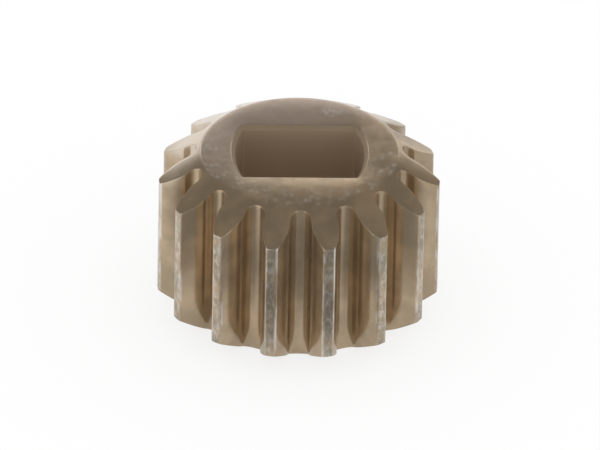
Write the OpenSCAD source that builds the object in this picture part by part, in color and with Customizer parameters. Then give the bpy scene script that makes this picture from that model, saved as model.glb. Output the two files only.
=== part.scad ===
// Pinion gear: a small spur gear in one piece. Both ends of the teeth are coned off,
// and a flat-sided hole with bowed ends runs through the middle to take the drive shaft.
// Millimetres. Z is up and is the gear's axis, the lower end face lies on z = 0, a tooth
// points to +Y, and the two flats of the hole run along X.

/* [Teeth] */
// Module, which is the pitch diameter divided by the number of teeth
gear_module = 1.5; // [1.5:0.05:2.5]
// Number of teeth
teeth = 15; // [14:1:30]
// Pressure angle in degrees
pressure_angle = 20; // [17:0.5:22]
// Height of a tooth above the pitch circle, in modules
addendum_ratio = 1; // [0.8:0.05:1]
// Depth of a tooth below the pitch circle, in modules
dedendum_ratio = 1.25; // [1.15:0.05:1.3]
// Slack along the pitch circle that is taken off each tooth
backlash = 0.05; // [0:0.01:0.15]
// Radius of the root fillet, as a share of the one arc that would round the whole gap
root_rounding = 0.9; // [0.2:0.05:0.95]
// Small flat that breaks the two long edges of a tooth tip
tip_break = 0.1; // [0.04:0.02:0.2]

/* [Body] */
// Height of the gear between its two end faces
gear_height = 16; // [12:0.5:30]
// Height of the cone that takes off the upper ends of the teeth
upper_cone = 2.5; // [0.5:0.1:4]
// Height of the cone that takes off the lower ends of the teeth
lower_cone = 2; // [0.5:0.1:4]
// Width of the coned rim that reaches in past the bottoms of the gaps
rim_inset = 0.475; // [0.1:0.025:0.8]

/* [Hole] */
// Distance between the two flats of the hole
flat_gap = 8; // [6:0.1:9]
// Greatest length of the hole, from one bowed end to the other
hole_length = 11.7; // [10:0.1:12.5]
// Radius of the two bowed ends
bow_radius = 10.5; // [7.5:0.1:14]
// Bevel around the upper and the lower mouth of the hole
mouth_bevel = 0.4; // [0.1:0.05:0.6]

/* [Colour] */
// Colour of the sintered metal
metal_colour = "#84785F"; // [#84785F, #8F8570, #6E6453]

/* [Hidden] */
// number of sides that a round shape is drawn with
$fn = 180;
// number of steps along a flank and along a fillet
flank_steps = 8;
fillet_steps = 5;
// how far a cutting shape runs past the surface that it cuts
past = 1;
// how far the line that breaks a tip runs, in lengths of the finished flat
break_run = 1.6;
// how far the foot of a tooth sinks into the root cylinder
sink = 0.01;

pitch_r = gear_module * teeth / 2;
base_r = pitch_r * cos(pressure_angle);
tip_r = pitch_r + addendum_ratio * gear_module;
root_r = pitch_r - dedendum_ratio * gear_module;
face_r = root_r - rim_inset;
tooth_step = 360 / teeth;
bow_offset = bow_radius - hole_length / 2;

// angle in degrees between the start of an involute and its point at pressure angle a
function involute_angle(a) = tan(a) * 180 / PI - a;
// half of the angle that a tooth covers on the base circle, where the involute starts
base_half = tooth_step / 4 + involute_angle(pressure_angle) - backlash / pitch_r * 90 / PI;
// half of the angle that a tooth covers at radius r
function half_angle(r) = base_half - involute_angle(acos(min(1, base_r / r)));
// point at radius r, turned by angle a from +Y
function around(r, a) = [r * sin(a), r * cos(a)];

// fillet, from the root cylinder up to the foot of the flank: two full arcs would meet in
// the middle of the gap
gap_sine = sin(tooth_step / 2 - base_half);
full_arc = root_r * gap_sine / (1 - gap_sine);
root_fillet = root_rounding * full_arc;
fillet_centre_r = root_r + root_fillet;
fillet_turn = asin(root_fillet / fillet_centre_r);
fillet_top_r = fillet_centre_r * cos(fillet_turn);
foot_half = half_angle(fillet_top_r);
fillet_centre = around(fillet_centre_r, foot_half + fillet_turn);
fillet = [for (i = [0:fillet_steps])
    let (a = foot_half + fillet_turn + 180 + (90 - fillet_turn) * i / fillet_steps)
    fillet_centre + around(root_fillet + (i == 0 ? sink : 0), a)];

// flank, out to just below the tip: it starts on the base circle, or at the top of the
// fillet where that lies further out
flank_end_r = tip_r - tip_break;
flank_start_a = acos(min(1, base_r / fillet_top_r));
flank_end_a = acos(base_r / flank_end_r);
flank = [for (i = [(flank_start_a > 0 ? 1 : 0):flank_steps])
    let (r = base_r / cos(flank_start_a + (flank_end_a - flank_start_a) * i / flank_steps))
    around(r, half_angle(r))];

// line that breaks the edge of the tip, carried on past the tip circle
tip_half = half_angle(tip_r) - tip_break / tip_r * 180 / PI;
flank_end = around(flank_end_r, half_angle(flank_end_r));
tip_corner = [flank_end + break_run * (around(tip_r, tip_half) - flank_end)];

// foot of the tooth inside the root cylinder
foot = [around(face_r, foot_half)];

one_side = concat(foot, fillet, flank, tip_corner);

// one tooth, pointing to +Y
module tooth_outline() {
    polygon(concat(
        one_side,
        [for (i = [len(one_side) - 1:-1:0]) [-one_side[i][0], one_side[i][1]]]
    ));
}

// whole gear seen along its axis
module gear_outline() {
    circle(r = root_r);
    intersection() {
        circle(r = tip_r);
        for (i = [0:teeth - 1]) rotate(i * tooth_step) tooth_outline();
    }
}

// turned blank that holds the gear, with a cone at each end
module turned_blank() {
    rotate_extrude()
        polygon([
            [0, 0],
            [face_r, 0],
            [tip_r, lower_cone],
            [tip_r + past, lower_cone],
            [tip_r + past, gear_height - upper_cone],
            [tip_r, gear_height - upper_cone],
            [face_r, gear_height],
            [0, gear_height]
        ]);
}

// the hole's own shape, wider all round by grow_0 at its foot and by grow_1 at its top
module bowed_hole(height, grow_0, grow_1) {
    intersection() {
        intersection_for(side = [-1, 1])
            translate([side * bow_offset, 0, 0])
                cylinder(h = height, r1 = bow_radius + grow_0, r2 = bow_radius + grow_1);
        rotate([90, 0, 90])
            translate([0, 0, -hole_length])
                linear_extrude(height = 2 * hole_length)
                    polygon([
                        [-flat_gap / 2 - grow_0, 0],
                        [flat_gap / 2 + grow_0, 0],
                        [flat_gap / 2 + grow_1, height],
                        [-flat_gap / 2 - grow_1, height]
                    ]);
    }
}

// funnel that opens at 45 degrees and bevels the mouth at height z = 0
module mouth() {
    translate([0, 0, -mouth_bevel - past])
        bowed_hole(mouth_bevel + 2 * past, -past, mouth_bevel + past);
}

// the hole with both of its bevelled mouths
module shaft_hole() {
    translate([0, 0, -past]) bowed_hole(gear_height + 2 * past, 0, 0);
    translate([0, 0, gear_height]) mouth();
    mirror([0, 0, 1]) mouth();
}

// the gear, in one solid
module pinion() {
    color(metal_colour)
        difference() {
            intersection() {
                linear_extrude(height = gear_height) gear_outline();
                turned_blank();
            }
            shaft_hole();
        }
}

pinion();
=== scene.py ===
"""Sintered pinion gear on a pale studio floor.

The gear is modelled on its own axis: one tooth is drawn, turned round the axis, raised to
its height, coned at both ends, opened for the shaft and softened along its edges.
All lengths are in metres. Z is the gear's axis and the gear stands on z = 0.
"""

import math

import bpy
from bpy.props import FloatProperty, FloatVectorProperty, IntProperty, PointerProperty
from mathutils import Matrix, Vector


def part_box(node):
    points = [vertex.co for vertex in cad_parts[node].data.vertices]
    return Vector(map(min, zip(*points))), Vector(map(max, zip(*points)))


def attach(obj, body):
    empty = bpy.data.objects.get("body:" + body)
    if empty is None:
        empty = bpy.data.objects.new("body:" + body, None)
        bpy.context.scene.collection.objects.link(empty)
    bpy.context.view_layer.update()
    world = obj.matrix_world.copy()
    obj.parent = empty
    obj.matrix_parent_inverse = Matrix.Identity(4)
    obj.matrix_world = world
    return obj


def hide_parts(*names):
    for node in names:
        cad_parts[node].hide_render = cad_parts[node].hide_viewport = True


bl_info = {
    "name": "Pinion gear",
    "version": (1, 0, 0),
    "blender": (4, 5, 0),
    "location": "View3D > Sidebar > Pinion",
    "description": "Models a small sintered pinion gear and the stage it stands on",
    "category": "Object",
}

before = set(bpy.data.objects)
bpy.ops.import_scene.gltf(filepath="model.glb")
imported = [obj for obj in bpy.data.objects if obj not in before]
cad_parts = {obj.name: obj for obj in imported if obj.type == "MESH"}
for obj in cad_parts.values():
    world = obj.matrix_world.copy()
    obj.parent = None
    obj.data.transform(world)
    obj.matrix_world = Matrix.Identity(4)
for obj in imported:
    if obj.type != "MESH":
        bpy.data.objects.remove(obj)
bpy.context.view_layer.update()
GEAR_LOW, GEAR_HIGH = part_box("pinion")

MM = 0.001
TURN = 2 * math.pi
# two points nearer than this are one point
WELD = 0.002 * MM
# size of the speck that a line of edges is drawn out from
SPECK = 0.1 * MM
# width of the plain ring inside the rim of an end face
RIM_RING = 0.35 * MM
# how far the coned blank runs past the gear's tips
BLANK_MARGIN = 1.0 * MM
# steps round the coned blank, and along each stretch of a quarter of the hole
BLANK_STEPS = 360
BOW_STEPS = 10
CORNER_STEPS = 4
FLAT_STEPS = 8
# rows of edges cut between the two sides of a tooth, up its walls and down the hole
TIP_CUTS = 5
WALL_CUTS = 38
HOLE_CUTS = 20
# edges sharper than this are softened, in so many steps
SHARP_EDGE = math.radians(24)
SOFT_STEPS = 3
# edges flatter than this are shaded smooth
SMOOTH_EDGE = math.radians(40)
# how far from the axis the painted shade at the gear's foot starts to fade, and where it ends
FOOT_NEAR = 12 * MM
FOOT_FAR = 24 * MM
# how far to the right the painted shade on the floor's glow sets in, and where it is full
RIGHT_NEAR = 16 * MM
RIGHT_FAR = 28 * MM
# width of the picture in pixels, pixels to a millimetre, and the height that the camera aims at
PICTURE_WIDTH = 600
PIXELS_PER_MM = 11.04
AIM_HEIGHT = 9.0 * MM
# pixels by which the aim lies to the right of that point and below it
AIM_RIGHT = 1.54
AIM_DOWN = 9.16


class GearSizes(bpy.types.PropertyGroup):
    """Sizes of the gear's teeth, body and shaft hole"""

    gear_module: FloatProperty(
        name="Module", description="Pitch diameter divided by the number of teeth",
        default=1.5 * MM, unit="LENGTH")
    teeth: IntProperty(
        name="Teeth", description="Number of teeth", default=15, min=8, max=60)
    pressure_angle: FloatProperty(
        name="Pressure angle", description="Angle at which two teeth push on each other",
        default=math.radians(20), unit="ROTATION")
    root_depth: FloatProperty(
        name="Root depth", description="Depth of a gap below the pitch circle",
        default=1.875 * MM, unit="LENGTH")
    backlash: FloatProperty(
        name="Backlash", description="Slack taken off a tooth along the pitch circle",
        default=0.05 * MM, unit="LENGTH")
    root_rounding: FloatProperty(
        name="Root rounding", description="Root fillet as a share of the arc that fills a gap",
        default=0.9, min=0.1, max=0.95, subtype="FACTOR")
    tip_round: FloatProperty(
        name="Tip rounding", description="Radius of the long edges of a tooth tip",
        default=0.22 * MM, unit="LENGTH")
    height: FloatProperty(
        name="Height", description="Height between the two end faces",
        default=GEAR_HIGH[2] - GEAR_LOW[2], unit="LENGTH")
    upper_cone: FloatProperty(
        name="Upper cone", description="Height of the cone over the upper ends of the teeth",
        default=2.5 * MM, unit="LENGTH")
    lower_cone: FloatProperty(
        name="Lower cone", description="Height of the cone over the lower ends of the teeth",
        default=2.0 * MM, unit="LENGTH")
    rim_inset: FloatProperty(
        name="Rim inset", description="How far the cone reaches in past the gaps",
        default=0.475 * MM, unit="LENGTH")
    flat_gap: FloatProperty(
        name="Flats", description="Distance between the two flats of the shaft hole",
        default=8.0 * MM, unit="LENGTH")
    hole_length: FloatProperty(
        name="Hole length", description="Length of the shaft hole between its bowed ends",
        default=11.7 * MM, unit="LENGTH")
    bow_radius: FloatProperty(
        name="Bow radius", description="Radius of the bowed ends of the shaft hole",
        default=10.5 * MM, unit="LENGTH")
    mouth_bevel: FloatProperty(
        name="Mouth bevel", description="Bevel round both mouths of the shaft hole",
        default=0.4 * MM, unit="LENGTH")
    hole_corner: FloatProperty(
        name="Hole corner", description="Radius of the corners between the flats and the bows",
        default=0.25 * MM, unit="LENGTH")
    edge_softness: FloatProperty(
        name="Edge softness", description="Rounding of the sharp edges that tumbling left",
        default=0.09 * MM, unit="LENGTH")


class MetalFinish(bpy.types.PropertyGroup):
    """Colours and grain of the sintered metal, and the colours of the painted light, reflection
    and shade on it
    """

    body_colour: FloatVectorProperty(
        name="Body", description="Colour of the sintered metal",
        default=(0.54, 0.42, 0.285, 1.0), subtype="COLOR", size=4, min=0, max=1)
    # also used for the painted shade on the bevel round the upper mouth of the hole
    shade_colour: FloatVectorProperty(
        name="Shade", description="Darker, oilier patches of the metal",
        default=(0.43, 0.335, 0.225, 1.0), subtype="COLOR", size=4, min=0, max=1)
    # also the painted glint along both edges of each tooth tip
    rubbed_colour: FloatVectorProperty(
        name="Rubbed", description="Bare metal where the tooth tips and rims are rubbed",
        default=(0.76, 0.73, 0.68, 1.0), subtype="COLOR", size=4, min=0, max=1)
    grime_colour: FloatVectorProperty(
        name="Grime", description="Dark grey film between the rubbed spots of the tips",
        default=(0.26, 0.25, 0.22, 1.0), subtype="COLOR", size=4, min=0, max=1)
    hole_colour: FloatVectorProperty(
        name="Hole", description="Bare metal inside the shaft hole",
        default=(0.62, 0.50, 0.37, 1.0), subtype="COLOR", size=4, min=0, max=1)
    tan_colour: FloatVectorProperty(
        name="Tan", description="Warm tan patches here and there",
        default=(0.64, 0.47, 0.30, 1.0), subtype="COLOR", size=4, min=0, max=1)
    # painted light: lightens the far left of the upper cone as if a lamp stood at the left
    painted_light_colour: FloatVectorProperty(
        name="Pale", description="Pale metal of the cone on its far left",
        default=(0.80, 0.71, 0.62, 1.0), subtype="COLOR", size=4, min=0, max=1)
    # painted reflection: tints the upper face lighter and pinker towards +Y and -X, as it mirrors
    # brighter surroundings there
    face_reflection_colour: FloatVectorProperty(
        name="Bloom", description="Pinkish film that the furnace left on the upper face",
        default=(0.56, 0.45, 0.37, 1.0), subtype="COLOR", size=4, min=0, max=1)
    metal_share: FloatProperty(
        name="Metal", description="How far the surface mirrors as bare metal does",
        default=0.82, min=0, max=1, subtype="FACTOR")
    smoothest: FloatProperty(
        name="Smoothest", description="Roughness of the smoothest patches",
        default=0.16, min=0, max=1, subtype="FACTOR")
    roughest: FloatProperty(
        name="Roughest", description="Roughness of the dullest patches",
        default=0.25, min=0, max=1, subtype="FACTOR")
    grain_size: FloatProperty(
        name="Grain", description="Size of the grains that the powder was pressed from",
        default=0.12 * MM, unit="LENGTH")
    grain_depth: FloatProperty(
        name="Grain depth", description="Depth of the grains and of the marks of the die",
        default=0.004 * MM, unit="LENGTH")
    grain_strength: FloatProperty(
        name="Grain strength", description="How far the grains turn the light",
        default=0.15, min=0, max=1, subtype="FACTOR")


class StageLook(bpy.types.PropertyGroup):
    """Floor, light and camera"""

    floor_colour: FloatVectorProperty(
        name="Floor", description="Colour of the floor",
        default=(1.0, 1.0, 1.0, 1.0), subtype="COLOR", size=4, min=0, max=1)
    floor_size: FloatProperty(
        name="Floor size", description="Length of the floor's sides",
        default=1.6, unit="LENGTH")
    card_colour: FloatVectorProperty(
        name="Card", description="Colour of the cards over the gear and beside it",
        default=(0.20, 0.185, 0.165, 1.0), subtype="COLOR", size=4, min=0, max=1)
    card_width: FloatProperty(
        name="Card width", description="Width of the card that hangs over the gear",
        default=0.12, unit="LENGTH")
    card_reach: FloatProperty(
        name="Card reach", description="How far the card runs past the gear's axis towards +Y",
        default=0.053, unit="LENGTH")
    card_height: FloatProperty(
        name="Card height", description="Height of the card above the floor",
        default=0.046, unit="LENGTH")
    glow_share: FloatProperty(
        name="Glow", description="Share of the floor's brightness that is its own glow",
        default=0.8, min=0, max=1, subtype="FACTOR")
    # the dim patch before the gear is a painted shadow of the gear, seen only in what the gear
    # mirrors
    dim_depth: FloatProperty(
        name="Dimming", description="How much of the glow the patch before the gear lacks",
        default=0.9, min=0, max=1, subtype="FACTOR")
    dim_place: FloatProperty(
        name="Dim edge", description="Where the dim patch before the gear begins",
        default=-0.012, unit="LENGTH")
    dim_half: FloatProperty(
        name="Dim half width", description="How far the dim patch reaches to each side",
        default=0.010, unit="LENGTH")
    dim_slant: FloatProperty(
        name="Dim slant", description="How much nearer the dim patch comes at its sides",
        default=0.15)
    # painted shade on the right of the floor, seen only in what the gear mirrors
    right_dim: FloatProperty(
        name="Right dimming", description="Share of the glow that the floor lacks on the right",
        default=0.45, min=0, max=1, subtype="FACTOR")
    # painted shade round the gear's foot, seen only in what the gear mirrors
    foot_dim: FloatProperty(
        name="Foot dimming", description="Share of the glow that the floor lacks round the gear",
        default=0.27, min=0, max=1, subtype="FACTOR")
    dim_fade: FloatProperty(
        name="Dim fade", description="Length over which the dim patch fades in",
        default=0.010, unit="LENGTH")
    elevation: FloatProperty(
        name="Elevation", description="How far the camera looks down",
        default=math.radians(33.2), unit="ROTATION")
    swing: FloatProperty(
        name="Swing", description="How far the camera stands round to the left",
        default=math.radians(1.25), unit="ROTATION")
    roll: FloatProperty(
        name="Roll", description="How far the camera is tipped about its own sight line",
        default=math.radians(1.134), unit="ROTATION")
    distance: FloatProperty(
        name="Distance", description="Distance of the camera from the gear",
        default=1.6, unit="LENGTH")


def around(radius, angle):
    """Point in the plane of the gear, turned by angle from +Y towards +X."""
    return Vector((radius * math.sin(angle), radius * math.cos(angle), 0.0))


def involute_angle(angle):
    return math.tan(angle) - angle


class ToothForm:
    """Radii and outline of one tooth that points to +Y."""

    FLANK_STEPS = 10
    FILLET_STEPS = 8
    ROUND_STEPS = 3
    LAND_STEPS = 1
    # share of a tip's rounding that lies below the tip circle
    ROUND_SHARE = 0.7

    def __init__(self, sizes):
        self.sizes = sizes
        self.pitch_r = sizes.gear_module * sizes.teeth / 2
        self.base_r = self.pitch_r * math.cos(sizes.pressure_angle)
        self.tip_r = self.pitch_r + sizes.gear_module
        self.root_r = self.pitch_r - sizes.root_depth
        self.face_r = self.root_r - sizes.rim_inset
        self.foot_half = (TURN / sizes.teeth / 4 + involute_angle(sizes.pressure_angle)
                          - sizes.backlash / self.pitch_r / 2)
        gap_sine = math.sin(TURN / sizes.teeth / 2 - self.foot_half)
        self.fillet = sizes.root_rounding * self.root_r * gap_sine / (1 - gap_sine)
        self.fillet_r = self.root_r + self.fillet
        self.foot_r = math.sqrt(self.fillet_r ** 2 - self.fillet ** 2)

    def half_angle(self, radius):
        return self.foot_half - involute_angle(math.acos(min(1.0, self.base_r / radius)))

    def bottom_of_gap(self):
        """From the middle of the gap along its bottom and up the fillet."""
        turn = math.asin(self.fillet / self.fillet_r)
        centre = around(self.fillet_r, self.foot_half + turn)
        middle = TURN / self.sizes.teeth / 2
        land_end = self.foot_half + turn
        points = [around(self.root_r, middle + (land_end - middle) * i / self.LAND_STEPS)
                  for i in range(self.LAND_STEPS)]
        for i in range(self.FILLET_STEPS + 1):
            angle = land_end + math.pi + (math.pi / 2 - turn) * i / self.FILLET_STEPS
            points.append(centre + around(self.fillet, angle))
        return points

    def flank(self):
        """From the top of the fillet up the flank and round the edge of the tip."""
        sizes = self.sizes
        end_r = self.tip_r - self.ROUND_SHARE * sizes.tip_round
        end_a = math.acos(self.base_r / end_r)
        points = []
        for i in range(self.FLANK_STEPS + 1):
            radius = self.base_r / math.cos(end_a * i / self.FLANK_STEPS)
            points.append(around(radius, self.half_angle(radius)))
        last = points[-1]
        along = (last - points[-2]).normalized()
        reach = (self.tip_r - last.y) / along.y if along.y else 0.0
        corner = last + along * reach
        land = Vector((corner.x - (corner - last).length, self.tip_r, 0.0))
        for i in range(1, self.ROUND_STEPS + 1):
            t = i / self.ROUND_STEPS
            points.append((1 - t) ** 2 * last + 2 * t * (1 - t) * corner + t * t * land)
        for point in points:
            if point.length > self.tip_r:
                point *= self.tip_r / point.length
        return points


def pick_none():
    bpy.ops.object.select_all(action="DESELECT")


def pick_edges(mesh_object, test):
    """Selects the edges whose two ends pass the test, in edit mode."""
    bpy.ops.mesh.select_mode(type="EDGE")
    bpy.ops.mesh.select_all(action="DESELECT")
    bpy.ops.object.mode_set(mode="OBJECT")
    mesh = mesh_object.data
    for edge in mesh.edges:
        start, end = (mesh.vertices[i].co for i in edge.vertices)
        edge.select = test(start, end)
    bpy.ops.object.mode_set(mode="EDIT")


def pick_faces(mesh_object, test):
    """Selects the faces whose middle and normal pass the test, in edit mode."""
    bpy.ops.mesh.select_mode(type="FACE")
    bpy.ops.mesh.select_all(action="DESELECT")
    bpy.ops.object.mode_set(mode="OBJECT")
    for face in mesh_object.data.polygons:
        face.select = test(face.center, face.normal)
    bpy.ops.object.mode_set(mode="EDIT")


def draw_line(points):
    """Draws a line of edges in edit mode: a speck is added and drawn out point by point."""
    bpy.ops.mesh.select_mode(type="VERT")
    bpy.ops.mesh.select_all(action="DESELECT")
    bpy.ops.mesh.primitive_plane_add(size=SPECK, location=points[0])
    bpy.ops.mesh.merge(type="CENTER")
    for start, end in zip(points, points[1:]):
        bpy.ops.mesh.extrude_region_move(
            TRANSFORM_OT_translate={"value": tuple(end - start)})


def start_piece(name):
    """Adds a small plane at the origin, opens it for editing and empties it."""
    pick_none()
    bpy.ops.mesh.primitive_plane_add(size=SPECK, location=(0, 0, 0))
    piece = bpy.context.object
    piece.name = name
    piece.data.name = name
    bpy.ops.object.mode_set(mode="EDIT")
    bpy.ops.mesh.select_all(action="SELECT")
    bpy.ops.mesh.delete(type="VERT")
    return piece


def radius_of(place):
    return math.hypot(place.x, place.y)


def hole_outline(sizes, grow, height):
    """Closed outline of the shaft hole, wider all round by grow."""
    flat_y = sizes.flat_gap / 2 + grow
    bow = sizes.bow_radius + grow
    shift = sizes.bow_radius - sizes.hole_length / 2
    corner = sizes.hole_corner + grow
    corner_y = flat_y - corner
    corner_x = math.sqrt((bow - corner) ** 2 - corner_y ** 2) - shift
    lean = math.atan2(corner_y, corner_x + shift)
    quarter = []
    for i in range(BOW_STEPS):
        angle = lean * i / BOW_STEPS
        quarter.append((bow * math.cos(angle) - shift, bow * math.sin(angle)))
    for i in range(CORNER_STEPS + 1):
        angle = lean + (math.pi / 2 - lean) * i / CORNER_STEPS
        quarter.append((corner_x + corner * math.cos(angle), corner_y + corner * math.sin(angle)))
    for i in range(1, FLAT_STEPS + 1):
        quarter.append((corner_x * (1 - i / FLAT_STEPS), flat_y))
    half = quarter + [(-x, y) for x, y in reversed(quarter[:-1])]
    loop = half + [(x, -y) for x, y in reversed(half[1:-1])]
    loop.append(loop[0])
    return [Vector((x, y, height)) for x, y in loop]


def draw_teeth(gear, form):
    """One end of the gear, flat: all the teeth on a ring that ends short of the hole."""
    sizes = form.sizes
    side = form.bottom_of_gap() + form.flank()
    draw_line(side)
    bpy.ops.mesh.select_all(action="SELECT")
    bpy.ops.mesh.duplicate()
    bpy.ops.transform.resize(value=(-1, 1, 1), center_override=(0, 0, 0))
    foot_y = form.foot_r * math.cos(form.foot_half)
    pick_edges(gear, lambda a, b: min(a.y, b.y) > foot_y - WELD
               and min(radius_of(a), radius_of(b)) > form.foot_r - WELD)
    bpy.ops.mesh.bridge_edge_loops(number_cuts=TIP_CUTS, interpolation="LINEAR")
    bpy.ops.mesh.select_all(action="SELECT")
    bpy.ops.mesh.spin(
        steps=sizes.teeth - 1, dupli=True, angle=TURN * (sizes.teeth - 1) / sizes.teeth,
        center=(0, 0, 0), axis=(0, 0, 1))
    bpy.ops.mesh.select_all(action="SELECT")
    bpy.ops.mesh.remove_doubles(threshold=WELD)
    ring = (form.face_r + form.root_r) / 2
    foot_limit = form.foot_r + WELD
    pick_edges(gear, lambda a, b: max(radius_of(a), radius_of(b)) < foot_limit)
    for radius in (ring, form.face_r, form.face_r - RIM_RING):
        bpy.ops.mesh.extrude_edges_move(TRANSFORM_OT_translate={"value": (0, 0, 0)})
        bpy.ops.transform.tosphere(value=1)
        bpy.ops.object.mode_set(mode="OBJECT")
        now = next(radius_of(v.co) for v in gear.data.vertices if v.select)
        bpy.ops.object.mode_set(mode="EDIT")
        bpy.ops.transform.resize(
            value=(radius / now, radius / now, 1), center_override=(0, 0, 0))


def raise_body(gear, form):
    """Raises the flat end to the gear's height, which leaves an end below and one above."""
    sizes = form.sizes
    bpy.ops.mesh.select_mode(type="FACE")
    bpy.ops.mesh.select_all(action="SELECT")
    bpy.ops.mesh.extrude_region_move(
        TRANSFORM_OT_translate={"value": (0, 0, sizes.height)})
    inner = form.face_r - RIM_RING / 2
    pick_faces(gear, lambda place, normal: radius_of(place) < inner and abs(normal.z) < 0.5)
    bpy.ops.mesh.delete(type="ONLY_FACE")
    bpy.ops.mesh.select_all(action="SELECT")
    bpy.ops.mesh.delete_loose(use_faces=False)


def turn_blank(form):
    """The coned blank that both ends are pressed against."""
    sizes = form.sizes
    reach = form.tip_r + BLANK_MARGIN
    spread = (reach - form.face_r) / (form.tip_r - form.face_r)
    start = form.face_r - BLANK_MARGIN / 2
    blank = start_piece("blank")
    draw_line([Vector((start, 0, 0)), Vector((form.face_r, 0, 0)),
               Vector((reach, 0, sizes.lower_cone * spread))])
    draw_line([Vector((start, 0, sizes.height)), Vector((form.face_r, 0, sizes.height)),
               Vector((reach, 0, sizes.height - sizes.upper_cone * spread))])
    bpy.ops.mesh.select_all(action="SELECT")
    bpy.ops.mesh.spin(steps=BLANK_STEPS, angle=TURN, center=(0, 0, 0), axis=(0, 0, 1))
    bpy.ops.mesh.select_all(action="SELECT")
    bpy.ops.mesh.remove_doubles(threshold=WELD)
    bpy.ops.object.mode_set(mode="OBJECT")
    return blank


def cone_ends(gear, form):
    """Presses the ends of the teeth against the coned blank."""
    bpy.ops.object.mode_set(mode="OBJECT")
    blank = turn_blank(form)
    middle = form.sizes.height / 2
    for name, above in (("upper_end", True), ("lower_end", False)):
        group = gear.vertex_groups.new(name=name)
        group.add([v.index for v in gear.data.vertices
                   if radius_of(v.co) > form.face_r + WELD and (v.co.z > middle) == above],
                  1.0, "REPLACE")
        pick_none()
        gear.select_set(True)
        bpy.context.view_layer.objects.active = gear
        press = gear.modifiers.new(name, "SHRINKWRAP")
        press.target = blank
        press.wrap_method = "PROJECT"
        press.use_project_z = True
        press.use_negative_direction = above
        press.use_positive_direction = not above
        press.vertex_group = name
        bpy.ops.object.modifier_apply(modifier=press.name)
        gear.vertex_groups.remove(gear.vertex_groups[name])
    pick_none()
    blank.select_set(True)
    bpy.ops.object.delete()
    gear.select_set(True)
    bpy.context.view_layer.objects.active = gear
    bpy.ops.object.mode_set(mode="EDIT")


def split_walls(gear, form):
    """Splits the upright edges of the teeth, so that no face is a long sliver."""
    long_edge = form.sizes.height / 2
    pick_edges(gear, lambda a, b: abs(a.z - b.z) > long_edge)
    bpy.ops.mesh.subdivide(number_cuts=WALL_CUTS)


def open_hole(gear, form):
    """Closes the gear's middle round a bevelled hole for the shaft."""
    sizes = form.sizes
    top = sizes.height
    bevel = sizes.mouth_bevel
    rings = [(bevel, 0.0), (0.0, bevel), (0.0, top - bevel), (bevel, top)]
    for grow, height in rings:
        draw_line(hole_outline(sizes, grow, height))
    bpy.ops.mesh.select_all(action="SELECT")
    bpy.ops.mesh.remove_doubles(threshold=WELD)
    inner = form.face_r - RIM_RING / 2
    mouth = form.face_r - 2 * RIM_RING
    for (_, low), (_, high) in zip(rings, rings[1:]):
        cuts = HOLE_CUTS if high - low > sizes.height / 2 else 0
        pick_edges(gear, lambda a, b: max(radius_of(a), radius_of(b)) < mouth
                   and min(abs(a.z - low), abs(a.z - high)) < WELD and abs(a.z - b.z) < WELD)
        bpy.ops.mesh.bridge_edge_loops(number_cuts=cuts, interpolation="LINEAR")
    for level in (0.0, top):
        pick_edges(gear, lambda a, b: max(radius_of(a), radius_of(b)) < inner
                   and abs(a.z - level) < WELD and abs(b.z - level) < WELD)
        bpy.ops.mesh.fill(use_beauty=True)
    bpy.ops.mesh.select_all(action="SELECT")
    bpy.ops.mesh.normals_make_consistent(inside=False)


def soften_edges(gear, form):
    """Rounds the sharp edges as tumbling does."""
    bpy.ops.mesh.select_mode(type="EDGE")
    bpy.ops.mesh.select_all(action="DESELECT")
    bpy.ops.mesh.edges_select_sharp(sharpness=SHARP_EDGE)
    bpy.ops.mesh.bevel(offset_type="OFFSET", offset=form.sizes.edge_softness,
                       segments=SOFT_STEPS, affect="EDGES", clamp_overlap=True)
    bpy.ops.mesh.select_all(action="SELECT")
    bpy.ops.mesh.remove_doubles(threshold=WELD / 4)
    bpy.ops.mesh.normals_make_consistent(inside=False)
    bpy.ops.object.mode_set(mode="OBJECT")


def smooth_faces(gear):
    """Shades the curved faces smooth and leaves the corners between faces crisp."""
    pick_none()
    gear.select_set(True)
    bpy.context.view_layer.objects.active = gear
    bpy.ops.object.shade_smooth_by_angle(angle=SMOOTH_EDGE)


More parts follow.
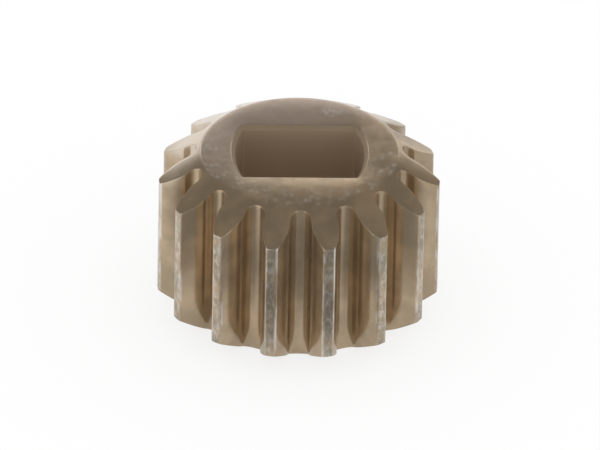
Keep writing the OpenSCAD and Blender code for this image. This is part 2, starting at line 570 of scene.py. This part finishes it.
class NodeBench:
    """Lays out the nodes of one material."""

    def __init__(self, name):
        self.material = bpy.data.materials.new(name)
        self.material.use_nodes = True
        self.tree = self.material.node_tree
        self.shader = self.tree.nodes["Principled BSDF"]

    def put(self, source, socket):
        """Joins an output to a socket, or sets the socket to a plain value."""
        if isinstance(source, bpy.types.NodeSocket):
            self.tree.links.new(source, socket)
        else:
            socket.default_value = source

    def place(self):
        return self.tree.nodes.new("ShaderNodeTexCoord").outputs["Object"]

    def texture(self, kind, grain, stretch, shift=(0, 0, 0)):
        """Adds a texture node whose marks are about grain across."""
        mapping = self.tree.nodes.new("ShaderNodeMapping")
        mapping.inputs["Scale"].default_value = stretch
        mapping.inputs["Location"].default_value = shift
        self.tree.links.new(self.place(), mapping.inputs["Vector"])
        node = self.tree.nodes.new(kind)
        node.inputs["Scale"].default_value = 1 / grain
        self.tree.links.new(mapping.outputs["Vector"], node.inputs["Vector"])
        return node

    def noise(self, grain, detail, roughness, stretch=(1, 1, 1), shift=(0, 0, 0)):
        """Cloudy noise from 0 to 1 whose lumps are about grain across."""
        node = self.texture("ShaderNodeTexNoise", grain, stretch, shift)
        node.inputs["Detail"].default_value = detail
        node.inputs["Roughness"].default_value = roughness
        return node.outputs["Fac"]

    def spots(self, gap, stretch=(1, 1, 1)):
        """Distance from the nearest of many scattered points that lie about gap apart."""
        return self.texture("ShaderNodeTexVoronoi", gap, stretch).outputs["Distance"]

    def ramp(self, value, low, high, start=0.0, end=1.0):
        """Smooth step from start to end as value goes from low to high."""
        node = self.tree.nodes.new("ShaderNodeMapRange")
        node.interpolation_type = "SMOOTHSTEP"
        self.put(value, node.inputs["Value"])
        for name, number in (("From Min", low), ("From Max", high),
                             ("To Min", start), ("To Max", end)):
            node.inputs[name].default_value = number
        return node.outputs["Result"]

    def math(self, kind, first, second=0.0):
        node = self.tree.nodes.new("ShaderNodeMath")
        node.operation = kind
        self.put(first, node.inputs[0])
        self.put(second, node.inputs[1])
        return node.outputs["Value"]

    def product(self, first, *others):
        for other in others:
            first = self.math("MULTIPLY", first, other)
        return first

    def most(self, first, *others):
        for other in others:
            first = self.math("MAXIMUM", first, other)
        return first

    def mix(self, share, first, second):
        node = self.tree.nodes.new("ShaderNodeMix")
        node.data_type = "RGBA"
        self.put(share, node.inputs["Factor"])
        self.put(first, node.inputs["A"])
        self.put(tuple(second), node.inputs["B"])
        return node.outputs["Result"]

    def parts(self):
        """Distance from the axis, height, and the places along X and Y."""
        split = self.tree.nodes.new("ShaderNodeSeparateXYZ")
        self.tree.links.new(self.place(), split.inputs["Vector"])
        across, along, height = split.outputs
        squares = self.math("ADD", self.math("MULTIPLY", across, across),
                            self.math("MULTIPLY", along, along))
        return self.math("SQRT", squares), height, across, along


class MetalBench(NodeBench):
    """Lays out the sintered metal and knows the places on the gear that its finish follows."""

    def __init__(self, finish, form):
        super().__init__("sintered_metal")
        self.finish = finish
        self.form = form
        self.top = form.sizes.height
        self.radius, self.height, self.across, self.along = self.parts()

    def mottled_body(self):
        """Brown metal in two shades, with warm tan patches left by the furnace."""
        clouds = self.ramp(self.noise(3.2 * MM, 5, 0.6), 0.38, 0.64)
        colour = self.mix(clouds, tuple(self.finish.shade_colour), self.finish.body_colour)
        patches = self.noise(5 * MM, 3, 0.5, shift=(0.013, 0.004, 0.02))
        return self.mix(self.ramp(patches, 0.48, 0.66, 0, 0.42), colour, self.finish.tan_colour)

    def painted_light_left_cone(self):
        """The far left of the upper cone, paler than the rest: painted light, as if lit from the
        left.
        """
        leftwards = self.math("SUBTRACT", self.along, self.across)
        face_r = self.form.face_r
        return self.product(
            self.ramp(self.height, self.top - 3 * MM, self.top - 1.5 * MM, 0, 0.6),
            self.ramp(leftwards, 6 * MM, 12 * MM),
            self.ramp(self.radius, face_r, face_r + 0.3 * MM))

    def painted_reflection_on_face(self):
        """Painted reflection on the upper face, strongest towards +Y and -X."""
        drift = self.math("SUBTRACT", self.along, self.math("MULTIPLY", self.across, 0.6))
        drift = self.math("ADD", drift, self.math("MULTIPLY", self.noise(3 * MM, 4, 0.6), 8 * MM))
        return self.product(self.ramp(self.height, self.top - 0.2 * MM, self.top - 0.05 * MM),
                            self.ramp(drift, 0, 11 * MM))

    def inside_hole(self):
        """The walls of the shaft hole and the bevels round its mouths."""
        face_r = self.form.face_r
        return self.product(
            self.ramp(self.height, 0, 0.1 * MM),
            self.ramp(self.height, self.top - 0.1 * MM, self.top, 1, 0),
            self.ramp(self.radius, face_r - 1.5 * MM, face_r - 0.6 * MM, 1, 0))

    def face_scuffs(self):
        """Scuffs on the end faces, thickest at the rim towards -Y, and one scratched patch."""
        face_r = self.form.face_r
        on_face = self.most(self.ramp(self.height, self.top - 0.12 * MM, self.top - 0.04 * MM),
                            self.ramp(self.height, 0.04 * MM, 0.12 * MM, 1, 0))
        dots = self.ramp(self.spots(0.55 * MM, (1, 0.7, 1)), 0, 0.7, 1, 0)
        scuffs = self.product(
            self.ramp(self.radius, face_r - 2.8 * MM, face_r - 0.4 * MM, 0.15, 1),
            self.ramp(self.along, -3 * MM, 5 * MM, 1, 0.25), dots,
            self.ramp(self.noise(1.1 * MM, 4, 0.65), 0.38, 0.60, 0.1, 1))
        patch_x, patch_y = 3 * MM, 6.6 * MM
        from_patch = self.math(
            "ADD", self.math("ABSOLUTE", self.math("SUBTRACT", self.across, patch_x)),
            self.math("ABSOLUTE", self.math("SUBTRACT", self.along, patch_y)))
        scratches = self.noise(0.5 * MM, 2, 0.5, stretch=(1.5, 0.8, 1))
        patch = self.product(self.ramp(from_patch, 0.4 * MM, 1.8 * MM, 1, 0),
                             self.ramp(scratches, 0.30, 0.70))
        return self.product(self.most(scuffs, patch), on_face, 0.55)

    def tip_wear_and_glint(self):
        """Bright wear on the tooth tips, partly a painted glint along both edges of each tip, and
        the grey film that is left between its marks.
        """
        form = self.form
        pitch = TURN / form.sizes.teeth
        turned = self.math("ADD", self.math("ARCTAN2", self.across, self.along),
                           TURN + pitch / 2)
        turned = self.math("SUBTRACT", self.math("MODULO", turned, pitch), pitch / 2)
        land_half = form.half_angle(form.tip_r)
        # both long edges of each tip: partly wear, partly a painted glint
        edge_wear_and_glint = self.ramp(self.math("ABSOLUTE", turned), 0.6 * land_half, 0.9 * land_half)
        on_tip = self.ramp(self.radius, form.tip_r - 0.26 * MM, form.tip_r - 0.12 * MM)
        on_land = self.ramp(self.radius, form.tip_r - 0.10 * MM, form.tip_r - 0.03 * MM)
        breaks = self.ramp(self.noise(0.8 * MM, 6, 0.65, stretch=(1, 1, 0.25)), 0.42, 0.60)
        flecks = self.ramp(self.noise(0.5 * MM, 6, 0.75, stretch=(1, 1, 0.6)), 0.44, 0.64, 0, 0.5)
        wear = self.most(self.product(edge_wear_and_glint, on_tip, breaks, 0.8),
                         self.product(on_land, flecks))
        film = self.noise(0.8 * MM, 5, 0.7, stretch=(1, 1, 0.4), shift=(0.05, 0, 0))
        grime = self.product(on_land, self.ramp(film, 0.35, 0.65, 0, 0.7),
                             self.math("SUBTRACT", 1.0, edge_wear_and_glint))
        return wear, grime

    def pressed_surface(self):
        """Pressed grains, and the faint upright marks that the die drew."""
        grain = self.finish.grain_size
        marks = self.noise(grain * 2.5, 3, 0.5, stretch=(1, 1, 0.04))
        bump = self.tree.nodes.new("ShaderNodeBump")
        bump.inputs["Strength"].default_value = self.finish.grain_strength
        bump.inputs["Distance"].default_value = self.finish.grain_depth
        self.put(self.math("ADD", self.noise(grain, 3, 0.6), self.math("MULTIPLY", marks, 0.8)),
                 bump.inputs["Height"])
        return bump.outputs["Normal"]


def sintered_metal(finish, form):
    """Pressed metal: mottled brown, finely grained, rubbed bright at the tooth tips with a
    painted glint along their edges, and with painted light, reflection and shade in places.
    """
    bench = MetalBench(finish, form)
    in_hole = bench.inside_hole()
    # painted shade: the bevel round the upper mouth of the hole is darkened towards the shade
    # colour
    painted_shade_at_mouth = bench.product(
        in_hole, bench.ramp(bench.height, bench.top - 0.5 * MM, bench.top - 0.38 * MM, 0, 0.6))
    wear, grime = bench.tip_wear_and_glint()
    colour = bench.mottled_body()
    # painted light on the far-left cone comes first
    for share, coat in ((bench.painted_light_left_cone(), finish.painted_light_colour),
                        # painted reflection on the upper face
                        (bench.painted_reflection_on_face(), finish.face_reflection_colour),
                        (in_hole, finish.hole_colour),
                        # painted shade on the upper mouth's bevel
                        (painted_shade_at_mouth, finish.shade_colour),
                        (grime, finish.grime_colour),
                        # rubbed spots: wear, and along the tip edges partly a painted glint
                        (bench.most(bench.face_scuffs(), wear), finish.rubbed_colour)):
        colour = bench.mix(share, colour, coat)
    rough = bench.ramp(bench.noise(1.6 * MM, 4, 0.6, shift=(0.03, 0, 0)), 0.3, 0.7,
                       finish.smoothest, finish.roughest)
    sockets = bench.shader.inputs
    bench.put(colour, sockets["Base Color"])
    bench.put(finish.metal_share, sockets["Metallic"])
    bench.put(bench.most(rough, bench.product(in_hole, 0.65)), sockets["Roughness"])
    bench.put(bench.pressed_surface(), sockets["Normal"])
    return bench.material


class PINION_OT_model_gear(bpy.types.Operator):
    """Models the pinion gear and gives it its sintered finish"""

    bl_idname = "pinion.model_gear"
    bl_label = "Model the gear"

    def execute(self, context):
        sizes = context.scene.gear_sizes
        form = ToothForm(sizes)
        gear = start_piece("pinion_gear")
        draw_teeth(gear, form)
        raise_body(gear, form)
        cone_ends(gear, form)
        split_walls(gear, form)
        open_hole(gear, form)
        soften_edges(gear, form)
        smooth_faces(gear)
        gear.data.materials.append(sintered_metal(context.scene.metal_finish, form))
        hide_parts("pinion")
        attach(gear, "root")
        return {"FINISHED"}


class PINION_OT_set_stage(bpy.types.Operator):
    """Lays the floor, hangs the cards, lights the scene and sets up the camera"""

    bl_idname = "pinion.set_stage"
    bl_label = "Set the stage"

    def execute(self, context):
        look = context.scene.stage_look
        pick_none()
        bpy.ops.mesh.primitive_plane_add(size=look.floor_size, location=(0, 0, 0))
        floor = context.object
        floor.name = "floor"
        floor.data.materials.append(floor_paint(look))
        hang_cards(look)
        light_world(context.scene)
        place_camera(context.scene, look)
        return {"FINISHED"}


def dull_paint(name, colour):
    """Paint that has no shine."""
    paint = NodeBench(name)
    paint.shader.inputs["Base Color"].default_value = colour
    paint.shader.inputs["Roughness"].default_value = 1.0
    paint.shader.inputs["Specular IOR Level"].default_value = 0.0
    return paint


def glow_with_painted_shade(paint, look):
    """The floor's glow as the gear mirrors it, dimmed by painted shade: a painted shadow before
    the gear, painted shade at its foot and far right.
    """
    radius, _, across, along = paint.parts()
    sideways = paint.math("ABSOLUTE", across)
    slanted = paint.math("SUBTRACT", along, paint.product(sideways, look.dim_slant))
    # painted shadow of the gear, falling towards -Y
    before = paint.product(
        paint.ramp(slanted, look.dim_place - look.dim_fade, look.dim_place, 1, 0),
        paint.ramp(sideways, look.dim_half, look.dim_half + 2 * look.dim_fade, 1, 0),
        look.dim_depth)
    # painted shade round the gear's foot
    foot = paint.ramp(radius, FOOT_NEAR, FOOT_FAR, look.foot_dim, 0)
    # painted shade far to the right
    right = paint.ramp(across, RIGHT_NEAR, RIGHT_FAR, 0, look.right_dim)
    return paint.math("SUBTRACT", 1.0, paint.most(before, foot, right))


def floor_paint(look):
    """Floor that also glows, for the camera and in what the gear mirrors."""
    paint = dull_paint("floor_paint", look.floor_colour)
    path = paint.tree.nodes.new("ShaderNodeLightPath").outputs
    mirrored = paint.most(path["Is Glossy Ray"], path["Is Transmission Ray"])
    level = paint.math("ADD", path["Is Camera Ray"],
                       paint.product(mirrored, glow_with_painted_shade(paint, look)))
    lamp = paint.tree.nodes.new("ShaderNodeEmission")
    paint.put(level, lamp.inputs["Strength"])
    blend = paint.tree.nodes.new("ShaderNodeMixShader")
    seen = paint.most(path["Is Camera Ray"], mirrored)
    paint.put(paint.product(seen, look.glow_share), blend.inputs[0])
    paint.put(paint.shader.outputs[0], blend.inputs[1])
    paint.put(lamp.outputs[0], blend.inputs[2])
    paint.put(blend.outputs[0], paint.tree.nodes["Material Output"].inputs["Surface"])
    return paint.material


def hang_cards(look):
    """Grey cards over the gear and beside it, which only its own metal reflects.

    They leave the far side open, so the upper face stays bright and the coned ends darken.
    """
    paint = dull_paint("card_paint", look.card_colour)
    side = look.card_width / 2
    front, rear = -side, look.card_reach
    beside, raised = 0.8 * side, 0.6 * side
    quarter = math.pi / 2
    for name, size, place, turn in (
            ("card_over", (2 * side, rear - front), (0, (front + rear) / 2, look.card_height),
             (math.pi, 0, 0)),
            ("card_left", (raised, side), (-side, beside, raised), (0, quarter, 0)),
            ("card_right", (raised, side), (side, beside, raised), (0, -quarter, 0))):
        pick_none()
        bpy.ops.mesh.primitive_plane_add(size=1, location=place, rotation=turn)
        card = bpy.context.object
        card.name = name
        card.scale = (*size, 1)
        card.visible_camera = False
        card.visible_diffuse = False
        card.visible_shadow = False
        card.data.materials.append(paint.material)


def light_world(scene):
    """White surroundings, equally bright on every side."""
    world = bpy.data.worlds.new("studio")
    scene.world = world
    world.use_nodes = True
    back = world.node_tree.nodes["Background"]
    back.inputs["Color"].default_value = (1, 1, 1, 1)
    back.inputs["Strength"].default_value = 1.0


def place_camera(scene, look):
    """Long lens, so that the gear's upright edges stay parallel."""
    data = bpy.data.cameras.new("camera")
    camera = bpy.data.objects.new("camera", data)
    scene.collection.objects.link(camera)
    pixel = MM / PIXELS_PER_MM
    data.sensor_width = 36
    data.lens = data.sensor_width * look.distance / (PICTURE_WIDTH * pixel)
    data.clip_start = 0.1
    data.clip_end = 100
    ahead = Vector((math.sin(look.swing) * math.cos(look.elevation),
                    math.cos(look.swing) * math.cos(look.elevation),
                    -math.sin(look.elevation)))
    right = Vector((math.cos(look.swing), -math.sin(look.swing), 0))
    up = right.cross(ahead)
    tipped_right = right * math.cos(look.roll) + up * math.sin(look.roll)
    tipped_up = up * math.cos(look.roll) - right * math.sin(look.roll)
    target = Vector((0, 0, AIM_HEIGHT))
    aim = target + tipped_right * AIM_RIGHT * pixel - tipped_up * AIM_DOWN * pixel
    place = aim - ahead * look.distance
    axes = Matrix((tipped_right, tipped_up, -ahead)).transposed()
    camera.matrix_world = Matrix.Translation(place) @ axes.to_4x4()
    scene.camera = camera


class PINION_PT_sidebar(bpy.types.Panel):
    """Lists the steps that make the gear and its stage"""

    bl_label = "Pinion gear"
    bl_idname = "PINION_PT_sidebar"
    bl_space_type = "VIEW_3D"
    bl_region_type = "UI"
    bl_category = "Pinion"

    def draw(self, context):
        for operator in (PINION_OT_model_gear, PINION_OT_set_stage):
            self.layout.operator(operator.bl_idname)


CLASSES = (GearSizes, MetalFinish, StageLook, PINION_OT_model_gear, PINION_OT_set_stage,
           PINION_PT_sidebar)


def register():
    for entry in CLASSES:
        bpy.utils.register_class(entry)
    bpy.types.Scene.gear_sizes = PointerProperty(type=GearSizes)
    bpy.types.Scene.metal_finish = PointerProperty(type=MetalFinish)
    bpy.types.Scene.stage_look = PointerProperty(type=StageLook)


def unregister():
    del bpy.types.Scene.stage_look
    del bpy.types.Scene.metal_finish
    del bpy.types.Scene.gear_sizes
    for entry in reversed(CLASSES):
        bpy.utils.unregister_class(entry)


def main():
    register()
    bpy.context.scene.view_settings.view_transform = "Standard"
    bpy.ops.pinion.model_gear()
    bpy.ops.pinion.set_stage()


if __name__ == "__main__":
    main()
